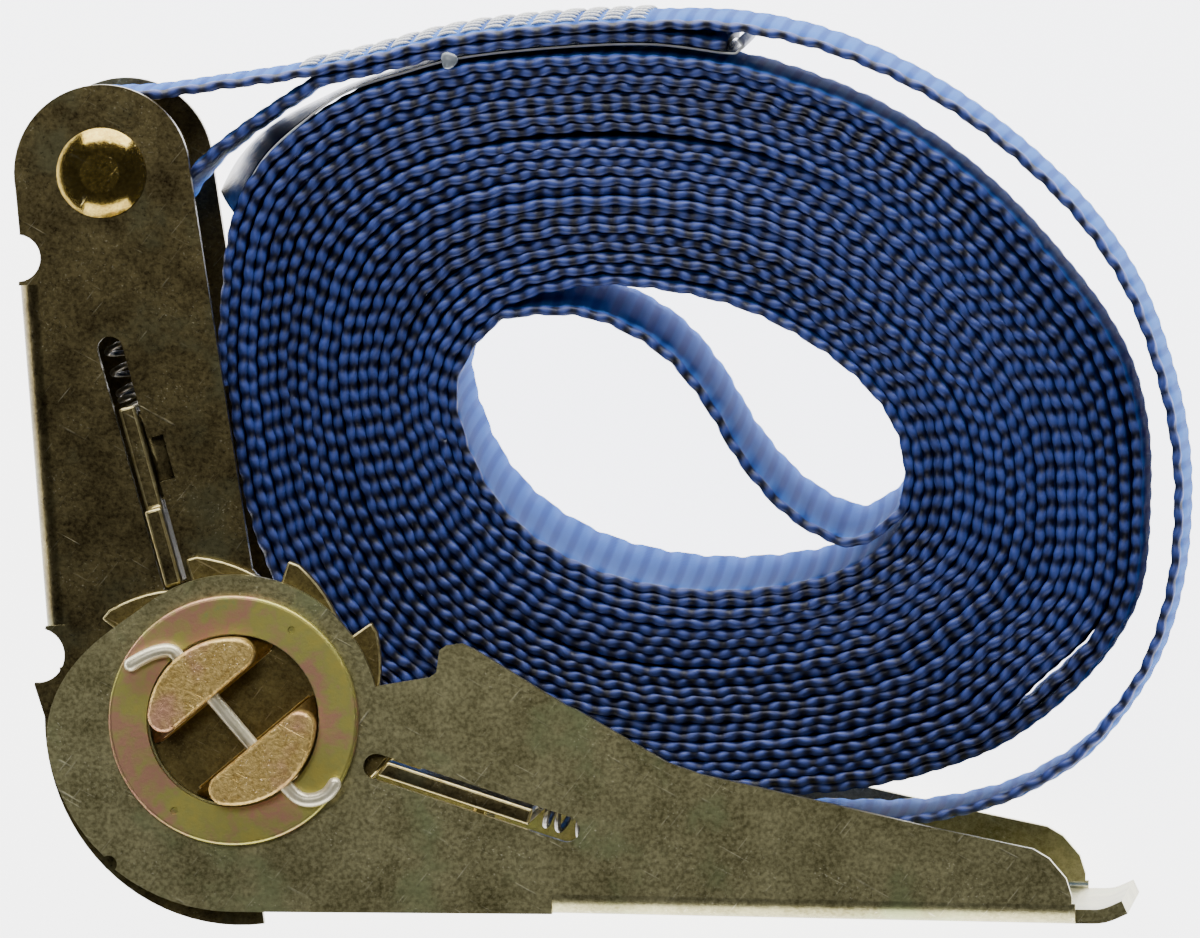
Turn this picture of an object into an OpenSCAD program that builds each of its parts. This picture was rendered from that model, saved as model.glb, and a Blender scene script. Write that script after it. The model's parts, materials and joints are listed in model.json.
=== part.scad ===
/* [Overall] */
// Distance from the spindle's axis to the axle that carries the sewn eye
axle_distance = 59.3; // [54:0.1:72]
// Distance from the spindle's axis to the outer end of the handle's cheeks
handle_length = 88.4; // [84:0.1:108]
// Clear width between the frame's two cheeks
inside_w = 27; // [26:0.5:34]

/* [Plates] */
// Thickness of the frame and handle steel
plate_t = 1.5; // [1.2:0.1:1.8]
// Outer radius of the bends between web and cheeks
bend_r = 2.2; // [2:0.1:3]
// Gap between neighbouring plates on the spindle
side_gap = 0.15; // [0.1:0.05:0.3]
// Radius of the frame round the axle
frame_top_r = 9.3; // [8.5:0.1:11]
// Radius of the frame round the spindle
frame_disc_r = 14.5; // [13:0.1:14.6]
// Radius of the handle's cheek round the spindle, on its inner side
handle_arc_r = 15.3; // [14.8:0.1:16.5]
// Radius of the handle's cheek round the spindle, on its outer side
handle_lobe_r = 20.3; // [19.6:0.1:20.8]

/* [Spindle] */
// Radius of the two spindle bars together
spindle_r = 8.9; // [8:0.1:9.5]
// Width of the slot between the two spindle bars
spindle_slot = 6.6; // [5:0.1:7.8]
// Direction of the strap slot, from +X towards +Y
slot_angle = 40; // [30:1:50]
// Radial running clearance of the spindle in the cheeks
running_gap = 0.06; // [0.02:0.01:0.1]
// Outer radius of the retaining rings
ring_r = 13.2; // [12:0.1:14]
// Thickness of the retaining rings
ring_t = 1.2; // [1:0.1:1.6]
// Wire diameter of the cotter pins
cotter_d = 1.5; // [1.2:0.1:1.8]

/* [Ratchet wheels] */
// Number of teeth
teeth = 10; // [10:1:12]
// Radius over the tooth tips
tip_r = 17.6; // [17:0.1:17.8]
// Radius of the tooth roots
root_r = 14.8; // [14.2:0.1:15]
// Thickness of each wheel
wheel_t = 2; // [1.6:0.1:2.6]

/* [Pawls] */
// Thickness of both pawl plates
pawl_t = 1.8; // [1.5:0.1:2.2]
// Width of the slots that guide the pawls
pawl_slot = 2.7; // [2.5:0.1:3.2]
// Length of the frame pawl along its slot
frame_pawl_l = 19.5; // [18:0.1:20]
// Travel of the frame pawl
frame_pawl_travel = 7; // [6.8:0.1:7.4]
// Travel of the handle pawl
handle_pawl_travel = 4.5; // [4:0.1:4.6]
// Outer diameter of the pawl springs
spring_d = 4.4; // [3.6:0.1:5]
// Wire diameter of the pawl springs
spring_wire = 0.7; // [0.5:0.05:0.9]

/* [Axle] */
// Diameter of the axle between the cheeks
axle_d = 11.2; // [9:0.1:12]
// Diameter of the riveted ends in the cheeks
tenon_d = 6.4; // [5:0.1:7]
// Diameter of the domed rivet heads
rivet_head_d = 9.5; // [8.6:0.1:11]
// Outer diameter of the sleeve that turns on the axle
sleeve_d = 14.4; // [13.8:0.1:15]

/* [Webbing] */
// Width of the webbing
webbing_w = 25; // [22:0.5:26]
// Thickness of the webbing
webbing_t = 1.03; // [0.9:0.01:1.1]
// Gap kept between the webbing and what it lies against
soft_gap = 0.15; // [0.1:0.05:0.3]
// Longest side of the coil
coil_l = 100; // [96:0.5:101]

/* [Hidden] */

steel = "darkkhaki";
bright_steel = "khaki";
webbing_blue = "royalblue";
fine = 96;

// The origin is the middle of the spindle. Levels above that middle plane, from the inside out
frame_z = inside_w / 2;
wheel_z = frame_z + plate_t + side_gap;
handle_z = wheel_z + wheel_t + side_gap;
ring_z = handle_z + plate_t + side_gap;
cotter_z = ring_z + ring_t + 0.2 + cotter_d / 2;
spindle_half_l = cotter_z + cotter_d / 2 + 1;
frame_half_w = frame_z + plate_t;
handle_half_w = handle_z + plate_t;

// Places that the outlines share
axle_angle = 103.95;
axle = polar(axle_distance, axle_angle);
frame_web_low = [-20.3, 9.6];
frame_web_top = to_tenths(axle + [-8.8, -12]);
frame_slot_angle = 105.5;
frame_pawl_foot = [-6.6, 14.3];
frame_pawl_nose = 0.3;
frame_pawl_top = frame_pawl_l - frame_pawl_nose;
handle_slot_angle = -18;
handle_slot_from = 15.8;
handle_pawl_back = 33;
handle_slot_to = handle_pawl_back + handle_pawl_travel - 0.5;
handle_web_from = [33.6, -20.4];
handle_web_to = [handle_length + 0.3, -21.3];
lobe_step_angle = -82.5;
tooth_phase = 71.4;
bore_r = spindle_r + running_gap;
spring_gap = 0.2;
seat_half_w = 4;
weld = 0.02;
frame_seat = 30.9;
handle_seat = 44.9;

// The coil is drawn 100 mm long and scaled to its length about its foot beside the spindle
coil_foot = [10, 3.5];
coil_scale = coil_l / 100;
coil_outline = [
    [-1.8, 34], [-1.9, 44], [-0.7, 53.2], [3.2, 59.7], [11.4, 65.4], [22, 68.6], [32, 69.8], [42, 70.2],
    [52, 69.3], [60, 67.1], [67, 64.4], [73.3, 60.9], [78.6, 57], [83.4, 52.4], [88, 47.1], [91.8, 42],
    [94.6, 36.6], [96.2, 30], [96.5, 23], [95.9, 13.6], [93.4, 7.8], [89.2, 2.6], [84.4, -1.6],
    [79, -4.8], [70, -7.8], [60, -9.3], [44, -9.6], [26, -6.3], [10, 3.5], [1.4, 18]
];
coil_hole = [
    [23.4, 32.5], [24.6, 37.6], [29, 42], [36, 44.2], [43, 44.3], [53.5, 42.1], [63, 37.2], [68.7, 31.1],
    [70.1, 24.4], [67.5, 19], [61, 15.5], [50, 13.9], [40, 15.2], [32, 18.9], [26.5, 24.5]
];
coil_cross_over = [
    [26.8, 40.8], [31.2, 42.3], [35, 42.5], [40.3, 41.1], [45.4, 37.9], [49.4, 33.2], [53.3, 26.8],
    [57.7, 21.8], [62.3, 19], [66, 18.7], [70.4, 21.7]
];

// Middle line of the outer turn, from the top of the eye round to the foot of the coil
wrap_route = [
    axle + [0, sleeve_d / 2 + soft_gap + webbing_t / 2], axle + [5, 8.1], [-1, 66.8], [5, 67.6],
    [12.5, 69], [22, 71.2], [32, 72.4], [41, 72.9], [49.5, 73], [56, 72.2], [63, 70.4], [70.5, 67.3],
    [77, 63.5], [83.5, 58.4], [89.5, 52.2], [94.2, 45], [97.2, 37], [98.9, 29.5], [99.3, 22],
    [98.4, 13.4], [95.6, 5.2], [90, -2.6], [84.6, -6.5], [79, -9], [71, -10.8], [62, -11.2], [52, -11.2]
];
// Part of the outer turn that the tail is sewn to, as a count of its samples
wrap_steps = 6;
sewn_from = 3 * wrap_steps;
sewn_to = 7 * wrap_steps;
tail_to = 8 * wrap_steps + 2;
tail_fall = 0.9;

function polar(r, a) = [r * cos(a), r * sin(a)];
function unit(v) = v / norm(v);
function to_tenths(v) = [for (x = v) round(10 * x) / 10];
function left_of(v) = [-v[1], v[0]];
function reversed(p) = [for (i = [len(p) - 1:-1:0]) p[i]];
function slice(p, from, to) = [for (i = [from:to]) p[i]];
function arc(c, r, a0, a1, n) = [for (i = [0:n]) c + polar(r, a0 + (a1 - a0) * i / n)];
function ease(t) = t * t * (3 - 2 * t);
// A point on the smooth curve between b and c, with a and d before and after
function curve_at(a, b, c, d, t) =
    (2 * b + (c - a) * t + (2 * a - 5 * b + 4 * c - d) * t * t + (3 * b - a - 3 * c + d) * t * t * t) / 2;
function smooth_loop(p, n) = let (m = len(p)) [
    for (i = [0:m - 1]) for (k = [0:n - 1])
        curve_at(p[(i + m - 1) % m], p[i], p[(i + 1) % m], p[(i + 2) % m], k / n)
];
function smooth_line(p, n) = let (m = len(p) - 1) concat([
    for (i = [0:m - 1]) for (k = [0:n - 1])
        curve_at(p[max(i - 1, 0)], p[i], p[i + 1], p[min(i + 2, m)], k / n)
], [p[m]]);
function tangent(p, i) = unit(p[min(i + 1, len(p) - 1)] - p[max(i - 1, 0)]);
// A line moved sideways, to its left by d
function beside(p, d) = [for (i = [0:len(p) - 1]) p[i] + d * left_of(tangent(p, i))];
function coil_point(p) = coil_foot + coil_scale * (p - coil_foot);
function coil_points(p) = [for (q = p) coil_point(q)];

// Samples of the outer turn from one to another, moved in by d, and by more where the free tail falls away
function below_wrap(from, to, d) = let (inner = beside(wrap_line, -1)) [
    for (i = [from:to]) let (fall = tail_fall * ease(max(0, i - sewn_to) / (tail_to - sewn_to)))
        wrap_line[i] + (d + fall) * (inner[i] - wrap_line[i])
];

wrap_line = smooth_line([for (i = [0:len(wrap_route) - 1]) i < 2 ? wrap_route[i] : coil_point(wrap_route[i])],
    wrap_steps);

module both_sides() {
    children();
    mirror([0, 0, 1]) children();
}

// A flat shape as a plate that starts at level z on the upper side
module plate(z, t) {
    translate([0, 0, z]) linear_extrude(t) children();
}

// A flat shape across the middle plane
module across(half_w) {
    translate([0, 0, -half_w]) linear_extrude(2 * half_w) children();
}

module ribbon(line, t) {
    polygon(concat(beside(line, t / 2), reversed(beside(line, -t / 2))));
}

module obround(from, to, w) {
    along = to - from;
    translate(from) circle(d = w, $fn = fine);
    translate(to) circle(d = w, $fn = fine);
    translate(from) rotate(atan2(along[1], along[0])) translate([0, -w / 2]) square([norm(along), w]);
}

// One bend of a channel, seen along the web, with the web's outer face at x = 0
module bend_corner(half_w) {
    translate([bend_r - weld, half_w - plate_t]) square([2 * weld, plate_t]);
    intersection() {
        translate([bend_r, half_w - bend_r]) difference() {
            circle(r = bend_r, $fn = fine);
            circle(r = bend_r - plate_t, $fn = fine);
        }
        translate([0, half_w - bend_r]) square(bend_r);
    }
}

// Web and bends of a channel, from a point to a point, with its cheeks on the left (side 1) or right (-1)
module channel_web(from, to, side, half_w) {
    along = to - from;
    translate(from) rotate(atan2(along[1], along[0])) rotate([90, 0, 90])
        translate([0, 0, -weld]) linear_extrude(norm(along) + 2 * weld) {
            if (side < 0) mirror([1, 0]) web_section(half_w);
            else web_section(half_w);
        }
}

module web_section(half_w) {
    translate([0, bend_r - half_w]) square([plate_t, 2 * (half_w - bend_r)]);
    bend_corner(half_w);
    mirror([0, 1]) bend_corner(half_w);
}

// The strip of a cheek that the bend takes the place of
module bend_strip(from, to, side) {
    along = to - from;
    translate(from) rotate(atan2(along[1], along[0])) translate([0, side > 0 ? -3 : -bend_r])
        square([norm(along), bend_r + 3]);
}

// ---- Frame ----

// The frame's lobe stands a little further out towards its step, so that it can stop the handle's pawl
module frame_lobe() {
    polygon(concat([[0, 0]], [
        for (i = [0:24]) let (s = i / 24) polar(20.4 + 1.6 * ease(s), 180 + (lobe_step_angle + 180) * s)
    ]));
}

module frame_outline() {
    difference() {
        union() {
            translate(axle) circle(r = frame_top_r, $fn = fine);
            circle(r = frame_disc_r, $fn = fine);
            frame_lobe();
            polygon([
                axle + [-frame_top_r, 0], frame_web_top + [0.1, 5.6], frame_web_top, frame_web_low,
                frame_web_low + [-1.2, -6.2], polar(20.4, 180), [0, 0],
                [14, 3], [1.6, 15.7], axle + [frame_top_r - 0.1, 1]
            ]);
        }
        translate(frame_web_top + [-0.2, 2.9]) circle(r = 2.5, $fn = fine);
        translate(frame_web_low + [-0.9, -3.1]) circle(r = 2.9, $fn = fine);
        translate(axle) circle(d = tenon_d, $fn = fine);
        circle(r = bore_r, $fn = fine);
        frame_slot();
        bend_strip(frame_web_low, frame_web_top, -1);
    }
}

// Guide slot of the frame pawl, with the pocket that clears the pawl's shoulder
module frame_slot() {
    slot_top = frame_pawl_top + frame_pawl_travel - pawl_slot / 2 + 0.7;
    translate(frame_pawl_foot) rotate(frame_slot_angle) {
        obround([-0.6, 0], [slot_top, 0], pawl_slot);
        translate([10.6, -3]) square([4.8, 2.6]);
    }
}

// Tab that the frame pawl's spring pushes against, pressed in from the web
module frame_spring_seat() {
    translate(frame_pawl_foot) rotate(frame_slot_angle) across(seat_half_w) {
        translate([frame_seat, -spring_d / 2 - 0.4]) square([plate_t, 10.2]);
    }
}

module frame_channel() {
    color(steel) {
        both_sides() plate(frame_z, plate_t) frame_outline();
        channel_web(frame_web_low, frame_web_top, -1, frame_half_w);
        frame_spring_seat();
    }
}

module rivet_head() {
    rotate_extrude($fn = fine) intersection() {
        translate([0, -4.1]) circle(r = 6.54, $fn = fine);
        square([rivet_head_d / 2, 2.1]);
    }
}

module axle_rivet() {
    color(bright_steel) translate([axle[0], axle[1], 0]) {
        cylinder(d = axle_d, h = inside_w, center = true, $fn = fine);
        cylinder(d = tenon_d, h = 2 * frame_half_w, center = true, $fn = fine);
        both_sides() translate([0, 0, frame_half_w]) rivet_head();
    }
}

module axle_sleeve() {
    color(steel) translate([axle[0], axle[1], 0]) difference() {
        cylinder(d = sleeve_d, h = inside_w - 0.4, center = true, $fn = fine);
        cylinder(d = axle_d + 0.14, h = inside_w, center = true, $fn = fine);
    }
}

// ---- Pawls ----

// The frame pawl lies in both slots. Its ears reach over the wheels, and its middle clears the spindle.
module frame_pawl() {
    color(bright_steel) translate(frame_pawl_foot) rotate(frame_slot_angle) {
        difference() {
            across(frame_half_w) translate([-frame_pawl_nose, -pawl_t / 2]) square([frame_pawl_l, pawl_t]);
            across(9) translate([-1, -3]) square([9, 6]);
        }
        across_ears(frame_half_w, wheel_z + wheel_t) translate([-frame_pawl_nose, -pawl_t / 2])
            square([8.4, pawl_t]);
    }
}

// A flat shape on each side, from one level to another
module across_ears(from, to) {
    both_sides() plate(from, to - from) children();
}

module handle_pawl() {
    nose = handle_slot_from + 0.25;
    color(bright_steel) rotate(handle_slot_angle) {
        across_ears(wheel_z, handle_half_w + 0.1) polygon([
            [nose, -pawl_t / 2], [handle_pawl_back, -pawl_t / 2], [handle_pawl_back, pawl_t / 2],
            [nose + 0.7, pawl_t / 2]
        ]);
        across(wheel_z) translate([20, -pawl_t / 2]) square([handle_pawl_back - 20, pawl_t]);
        across(9) translate([handle_pawl_back - 5 - plate_t, -5]) square([plate_t, 5]);
    }
}

// A wire along a list of points, as one tube with flat ends
module wire(points, r, sides) {
    n = len(points);
    rings = [for (i = [0:n - 1]) let (
        along = unit(points[min(i + 1, n - 1)] - points[max(i - 1, 0)]),
        aside = unit(cross(along, abs(along[2]) < 0.9 ? [0, 0, 1] : [1, 0, 0])),
        up = cross(aside, along)
    ) for (k = [0:sides - 1]) points[i] + r * (cos(360 * k / sides) * aside + sin(360 * k / sides) * up)];
    walls = [for (i = [0:n - 2]) for (k = [0:sides - 1]) let (a = i * sides, next = (k + 1) % sides) each [
        [a + k, a + next, a + sides + next],
        [a + k, a + sides + next, a + sides + k]
    ]];
    start = [for (k = [sides - 1:-1:0]) k];
    end = [for (k = [0:sides - 1]) (n - 1) * sides + k];
    polyhedron(rings, concat(walls, [start, end]));
}

// A compression spring along +X, from x = 0 to its length
module spring(length, turns) {
    r = (spring_d - spring_wire) / 2;
    steps = 14 * turns;
    reach = length - spring_wire - 2 * spring_gap;
    wire([for (i = [0:steps]) let (a = 360 * turns * i / steps)
        [spring_gap + spring_wire / 2 + reach * i / steps, r * cos(a), r * sin(a)]], spring_wire / 2, 8);
}

module frame_pawl_spring() {
    color("silver") translate(frame_pawl_foot) rotate(frame_slot_angle)
        translate([frame_pawl_top, 0, 0]) spring(frame_seat - frame_pawl_top, 6);
}

module handle_pawl_spring() {
    color("silver") rotate(handle_slot_angle)
        translate([handle_pawl_back, 0, 0]) spring(handle_seat - handle_pawl_back, 6);
}

// ---- Handle ----

module handle_outline() {
    lobe = [for (i = [0:18]) let (a = 128 + 62 * i / 18)
        polar(handle_arc_r + (handle_lobe_r - 0.3 - handle_arc_r) * ease((a - 128) / 62), a)];
    low = arc([0, 0], handle_lobe_r, 232, 270, 8);
    top_edge = [
        [handle_length, -18.3], [handle_length - 0.6, -16.4], [handle_length - 2.4, -14.3],
        [handle_length - 4.1, -13.3], [74.2, -11.2], [62.8, -8.6], [49.3, -5.6], [45.9, -4.4],
        [36.1, 1.2], [35.1, 1.6], [25.4, 7.5], [24.1, 8.1], [22.4, 7.9], [21.7, 7.4], [21.4, 5.1],
        [20.6, 4.5], [15.8, 3.7]
    ];
    difference() {
        union() {
            circle(r = handle_arc_r, $fn = fine);
            polygon(concat(
                [[0, 0]], lobe, arc([0, 0], handle_lobe_r - 0.3, 196, 226, 6), low,
                [handle_web_from, handle_web_to - [0.3, 0]], top_edge
            ));
        }
        translate(polar(handle_lobe_r, 229)) circle(r = 0.9, $fn = fine);
        circle(r = bore_r, $fn = fine);
        obround(polar(handle_slot_from, handle_slot_angle), polar(handle_slot_to, handle_slot_angle), pawl_slot);
        bend_strip(handle_web_from, handle_web_to, 1);
    }
}

// Turned-in edge that lifts the frame pawl when the handle is opened flat
module handle_cam() {
    both_sides() translate([0, 0, wheel_z + 0.05]) rotate(190) rotate_extrude(angle = 35, $fn = fine)
        translate([handle_lobe_r - 0.35 - plate_t, 0]) square([plate_t, handle_half_w - wheel_z - 0.05]);
}

// Rolled lip beyond the cheeks, where the hand pulls
module handle_lip() {
    end = handle_web_to;
    across(handle_half_w - bend_r) ribbon(smooth_line([
        end + [-1, plate_t / 2 + 0.02], end + [0.6, plate_t / 2], end + [3, plate_t / 2 + 0.1],
        end + [5.2, plate_t / 2 + 1]
    ], 4), plate_t);
}

module handle_spring_seat() {
    foot = polar(handle_seat, handle_slot_angle);
    across(seat_half_w) translate(foot) rotate(handle_slot_angle)
        translate([0, -6.6]) square([plate_t, spring_d / 2 + 6.6 + 0.2]);
}

module handle_channel() {
    color(steel) {
        both_sides() plate(handle_z, plate_t) handle_outline();
        channel_web(handle_web_from, handle_web_to, 1, handle_half_w);
        handle_lip();
        handle_cam();
        handle_spring_seat();
    }
}

// ---- Spindle ----

// Section of one spindle bar: a slice of the round, with blunt corners
module bar_section(grow) {
    corner = sqrt(spindle_r * spindle_r - spindle_slot * spindle_slot / 4) - 0.9;
    intersection() {
        circle(r = spindle_r + grow, $fn = fine);
        translate([-corner - grow, spindle_slot / 2 - grow]) square([2 * (corner + grow), spindle_r + grow]);
    }
}

module spindle_half(turn) {
    color(bright_steel) rotate(slot_angle + turn) difference() {
        across(spindle_half_l) bar_section(0);
        both_sides() translate([0, 0, cotter_z]) rotate([-90, 0, 0])
            cylinder(d = cotter_d + 0.2, h = 2 * spindle_r, $fn = fine);
    }
}

module spindle_half_a() {
    spindle_half(0);
}

module spindle_half_b() {
    spindle_half(180);
}

// Steep faces look the way that the wheels can't turn, and the backs fall away evenly
module wheel_outline() {
    pitch = 360 / teeth;
    land = 0.11 * pitch;
    slope_end = 0.85 * pitch;
    polygon([for (i = [0:teeth - 1]) let (face = tooth_phase - pitch * i) each concat(
        [polar(root_r, face), polar(tip_r, face)],
        [for (k = [0:6]) polar(tip_r - (tip_r - root_r) * k / 6, face - land - (slope_end - land) * k / 6)]
    )]);
}

module ratchet_wheel() {
    color(steel) plate(wheel_z, wheel_t) difference() {
        wheel_outline();
        rotate(slot_angle) bar_section(0.05);
        rotate(slot_angle + 180) bar_section(0.05);
    }
}

module ratchet_wheel_upper() {
    ratchet_wheel();
}

module ratchet_wheel_lower() {
    mirror([0, 0, 1]) ratchet_wheel();
}

module retaining_ring() {
    edge = 0.4;
    dimple_r = (spindle_r + ring_r) / 2 + 0.35;
    color(bright_steel) translate([0, 0, ring_z]) difference() {
        rotate_extrude($fn = fine) {
            translate([spindle_r + 0.25, 0]) square([ring_r - edge - spindle_r - 0.25, ring_t]);
            translate([ring_r - edge - 0.01, 0]) square([edge + 0.01, ring_t - edge]);
            translate([ring_r - edge, ring_t - edge]) circle(r = edge, $fn = fine);
        }
        for (a = [57, 237]) translate(polar(dimple_r, a)) translate([0, 0, ring_t - 0.3])
            cylinder(d = 0.8, h = 1, $fn = 24);
    }
}

module retaining_ring_upper() {
    retaining_ring();
}

module retaining_ring_lower() {
    mirror([0, 0, 1]) retaining_ring();
}

// The pin crosses both bars, then one end lies back along the ring and the other hooks round
module cotter_pin() {
    z = cotter_z;
    out = spindle_r + 0.9;
    route = [
        [-4.7, out + 2, z], [-2.8, out + 2.5, z], [-1.2, out + 2, z], [-0.2, out + 0.8, z],
        [0, out - 1.4, z], [0, 0, z], [0, 1.4 - out, z], [0.2, -out, z], [1.5, -out - 0.9, z],
        [3.2, -out - 1.4, z], [5.1, -out - 1.7, z]
    ];
    color("silver") rotate(slot_angle + 180) wire(smooth_line(route, 3), cotter_d / 2, 12);
}

module cotter_pin_upper() {
    cotter_pin();
}

module cotter_pin_lower() {
    mirror([0, 0, 1]) cotter_pin();
}

// ---- Webbing ----

// The eye: round the sleeve from its top, back up under the outer turn, and on to the free tail
module strap_eye() {
    r = sleeve_d / 2 + soft_gap + webbing_t / 2;
    round_sleeve = arc(axle, r, 91, 318, 30);
    tail = below_wrap(sewn_from + 3, tail_to, webbing_t + 0.12);
    rise = smooth_line([round_sleeve[29], round_sleeve[30], axle + [11.2, 1.6], tail[0], tail[4]], 5);
    line = concat(slice(round_sleeve, 0, 29), slice(rise, 5, 15), slice(tail, 1, len(tail) - 1));
    color(webbing_blue) across(webbing_w / 2) ribbon(line, webbing_t);
}

module strap_wrap() {
    color(webbing_blue) across(webbing_w / 2) ribbon(wrap_line, webbing_t);
}

module strap_coil() {
    color(webbing_blue) across(webbing_w / 2) {
        difference() {
            polygon(smooth_loop(coil_points(coil_outline), 5));
            polygon(smooth_loop(coil_points(coil_hole), 5));
        }
        ribbon(smooth_line(coil_points(coil_cross_over), 5), webbing_t);
    }
}

// Rows of thread along the top of the sewn stretch
module stitching() {
    rows = 5;
    line = beside(slice(wrap_line, sewn_from + 2, sewn_to), webbing_t / 2 + 0.16);
    color("white") for (i = [0:rows - 1])
        translate([0, 0, (i - (rows - 1) / 2) * webbing_w * 0.19]) across(0.5) ribbon(line, 0.3);
}

// A thin sheet sewn in under the tail, turned up round the tail's end, with its free end along the coil
module label() {
    under = below_wrap(5 * wrap_steps, tail_to, 1.5 * webbing_t + 0.34);
    end = under[len(under) - 1];
    flap = coil_points([[-1.5, 53.6], [0.2, 57.1], [2.7, 60.3], [6.7, 63.3], [11.1, 65.95], [17.2, 67.9]]);
    curl = [end + [1.3, 0.2], end + [1.75, 0.8], end + [1.2, 1.5]];
    color("midnightblue") across(webbing_w / 2 - 1)
        ribbon(smooth_line(concat(flap, [under[1], under[8], under[14], end], curl), 5), 0.24);
}

// A drop of clear plastic that holds the label at the strap's edge
module label_tack() {
    spot = below_wrap(5 * wrap_steps, tail_to, 1.5 * webbing_t + 0.34)[0];
    color("gainsboro") translate([spot[0], spot[1], webbing_w / 2 + 0.03])
        cylinder(d = 1.8, h = 0.9, $fn = fine);
}

frame_channel();
axle_rivet();
axle_sleeve();
frame_pawl();
frame_pawl_spring();
handle_channel();
handle_pawl();
handle_pawl_spring();
spindle_half_a();
spindle_half_b();
ratchet_wheel_upper();
ratchet_wheel_lower();
retaining_ring_upper();
retaining_ring_lower();
cotter_pin_upper();
cotter_pin_lower();
strap_eye();
strap_wrap();
strap_coil();
stitching();
label();
label_tack();
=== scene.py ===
"""Looks of a ratchet tie down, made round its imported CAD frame.

Plain numbers are millimetres in the frame's own axes, with the origin in the middle of the spindle.
Meshes are written in metres, with MM as the factor between the two.
"""

import json
import logging
import math
from dataclasses import dataclass, field
from enum import Enum
from functools import cache
from typing import Sequence

import bmesh
import bpy
import numpy as np
from mathutils import Matrix, Vector


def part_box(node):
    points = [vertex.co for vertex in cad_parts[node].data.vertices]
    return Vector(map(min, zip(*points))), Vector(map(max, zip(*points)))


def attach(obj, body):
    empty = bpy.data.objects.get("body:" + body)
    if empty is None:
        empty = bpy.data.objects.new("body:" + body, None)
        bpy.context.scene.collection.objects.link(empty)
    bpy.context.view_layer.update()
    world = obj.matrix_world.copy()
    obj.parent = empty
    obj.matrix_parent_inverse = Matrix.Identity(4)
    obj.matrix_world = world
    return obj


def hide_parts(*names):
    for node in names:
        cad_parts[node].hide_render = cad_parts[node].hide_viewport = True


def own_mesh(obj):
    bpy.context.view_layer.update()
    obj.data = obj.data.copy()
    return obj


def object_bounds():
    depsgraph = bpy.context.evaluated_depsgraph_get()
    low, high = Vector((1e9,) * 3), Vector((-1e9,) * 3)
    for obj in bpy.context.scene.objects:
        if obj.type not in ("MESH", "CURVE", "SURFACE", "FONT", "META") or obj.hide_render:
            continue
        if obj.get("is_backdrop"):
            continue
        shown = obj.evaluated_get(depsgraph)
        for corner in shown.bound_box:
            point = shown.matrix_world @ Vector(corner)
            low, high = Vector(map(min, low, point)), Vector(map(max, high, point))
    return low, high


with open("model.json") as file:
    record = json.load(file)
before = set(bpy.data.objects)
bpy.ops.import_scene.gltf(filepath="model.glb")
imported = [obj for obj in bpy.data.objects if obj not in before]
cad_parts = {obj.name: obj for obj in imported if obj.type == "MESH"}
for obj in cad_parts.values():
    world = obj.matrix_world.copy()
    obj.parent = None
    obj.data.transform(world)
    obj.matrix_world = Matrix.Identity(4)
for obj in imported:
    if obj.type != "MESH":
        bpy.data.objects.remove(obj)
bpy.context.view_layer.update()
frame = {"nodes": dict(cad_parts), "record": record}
MM = 0.001
LOG = logging.getLogger("tie_down")
Colour = tuple[float, float, float, float]

# Places and directions that several pieces share
COIL_CENTRE = np.array([46.5, 29])
AXLE = np.array([-14.296, 57.551])
SLOT_ANGLE = 40
PAWL_FOOT = (-6.6, 14.3)
PAWL_ANGLE = 105.5
# Distances from rib to rib and from edge loop to edge loop along the webbing
RIB = 2.0
LOOP = 2.0


def tint(code: str) -> Colour:
    """Turns a colour as people write it into the linear light that shaders use.

    Args:
        code: Six hexadecimal digits, red, green and blue.

    Returns:
        Linear red, green and blue, and an alpha of 1.
    """
    parts = np.array([int(code[i:i + 2], 16) for i in (0, 2, 4)]) / 255
    linear = np.where(parts <= 0.04045, parts / 12.92, ((parts + 0.055) / 1.055) ** 2.4)
    return (*linear.tolist(), 1.0)


# ---- Shader graphs ----


class Wire:
    """A node's output that can be used in arithmetic. Each operator adds one Math node."""

    def __init__(self, graph: "Graph", socket: bpy.types.NodeSocket | None) -> None:
        """Keeps the output socket and the graph that it belongs to."""
        self.graph = graph
        self.socket = socket

    def _math(self, operation: str, *values: "Wire | float") -> "Wire":
        """Adds a Math node with these values in order."""
        return self.graph.node("ShaderNodeMath", {"operation": operation}, dict(enumerate(values)))

    def __add__(self, other: "Wire | float") -> "Wire":
        """Sum."""
        return self._math("ADD", self, other)

    __radd__ = __add__

    def __mul__(self, other: "Wire | float") -> "Wire":
        """Product."""
        return self._math("MULTIPLY", self, other)

    __rmul__ = __mul__

    def __sub__(self, other: "Wire | float") -> "Wire":
        """Difference."""
        return self._math("SUBTRACT", self, other)

    def __rsub__(self, other: "Wire | float") -> "Wire":
        """Difference, with the wire on the right."""
        return self._math("SUBTRACT", other, self)

    def cosine(self) -> "Wire":
        """Cosine of an angle in radians."""
        return self._math("COSINE", self)

    def largest(self, other: "Wire | float") -> "Wire":
        """The larger of two values."""
        return self._math("MAXIMUM", self, other)

    def size(self) -> "Wire":
        """The value without its sign."""
        return self._math("ABSOLUTE", self)

    def step(self, low: float, high: float) -> "Wire":
        """Rises smoothly from 0 at low to 1 at high."""
        settings = {"interpolation_type": "SMOOTHSTEP"}
        return self.graph.node("ShaderNodeMapRange", settings, {0: self, 1: low, 2: high})

    def parts(self) -> "tuple[Wire, Wire, Wire]":
        """The three parts of a vector."""
        node = self.graph.node("ShaderNodeSeparateXYZ", inputs={0: self}).socket.node
        return tuple(Wire(self.graph, output) for output in node.outputs)


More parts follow.
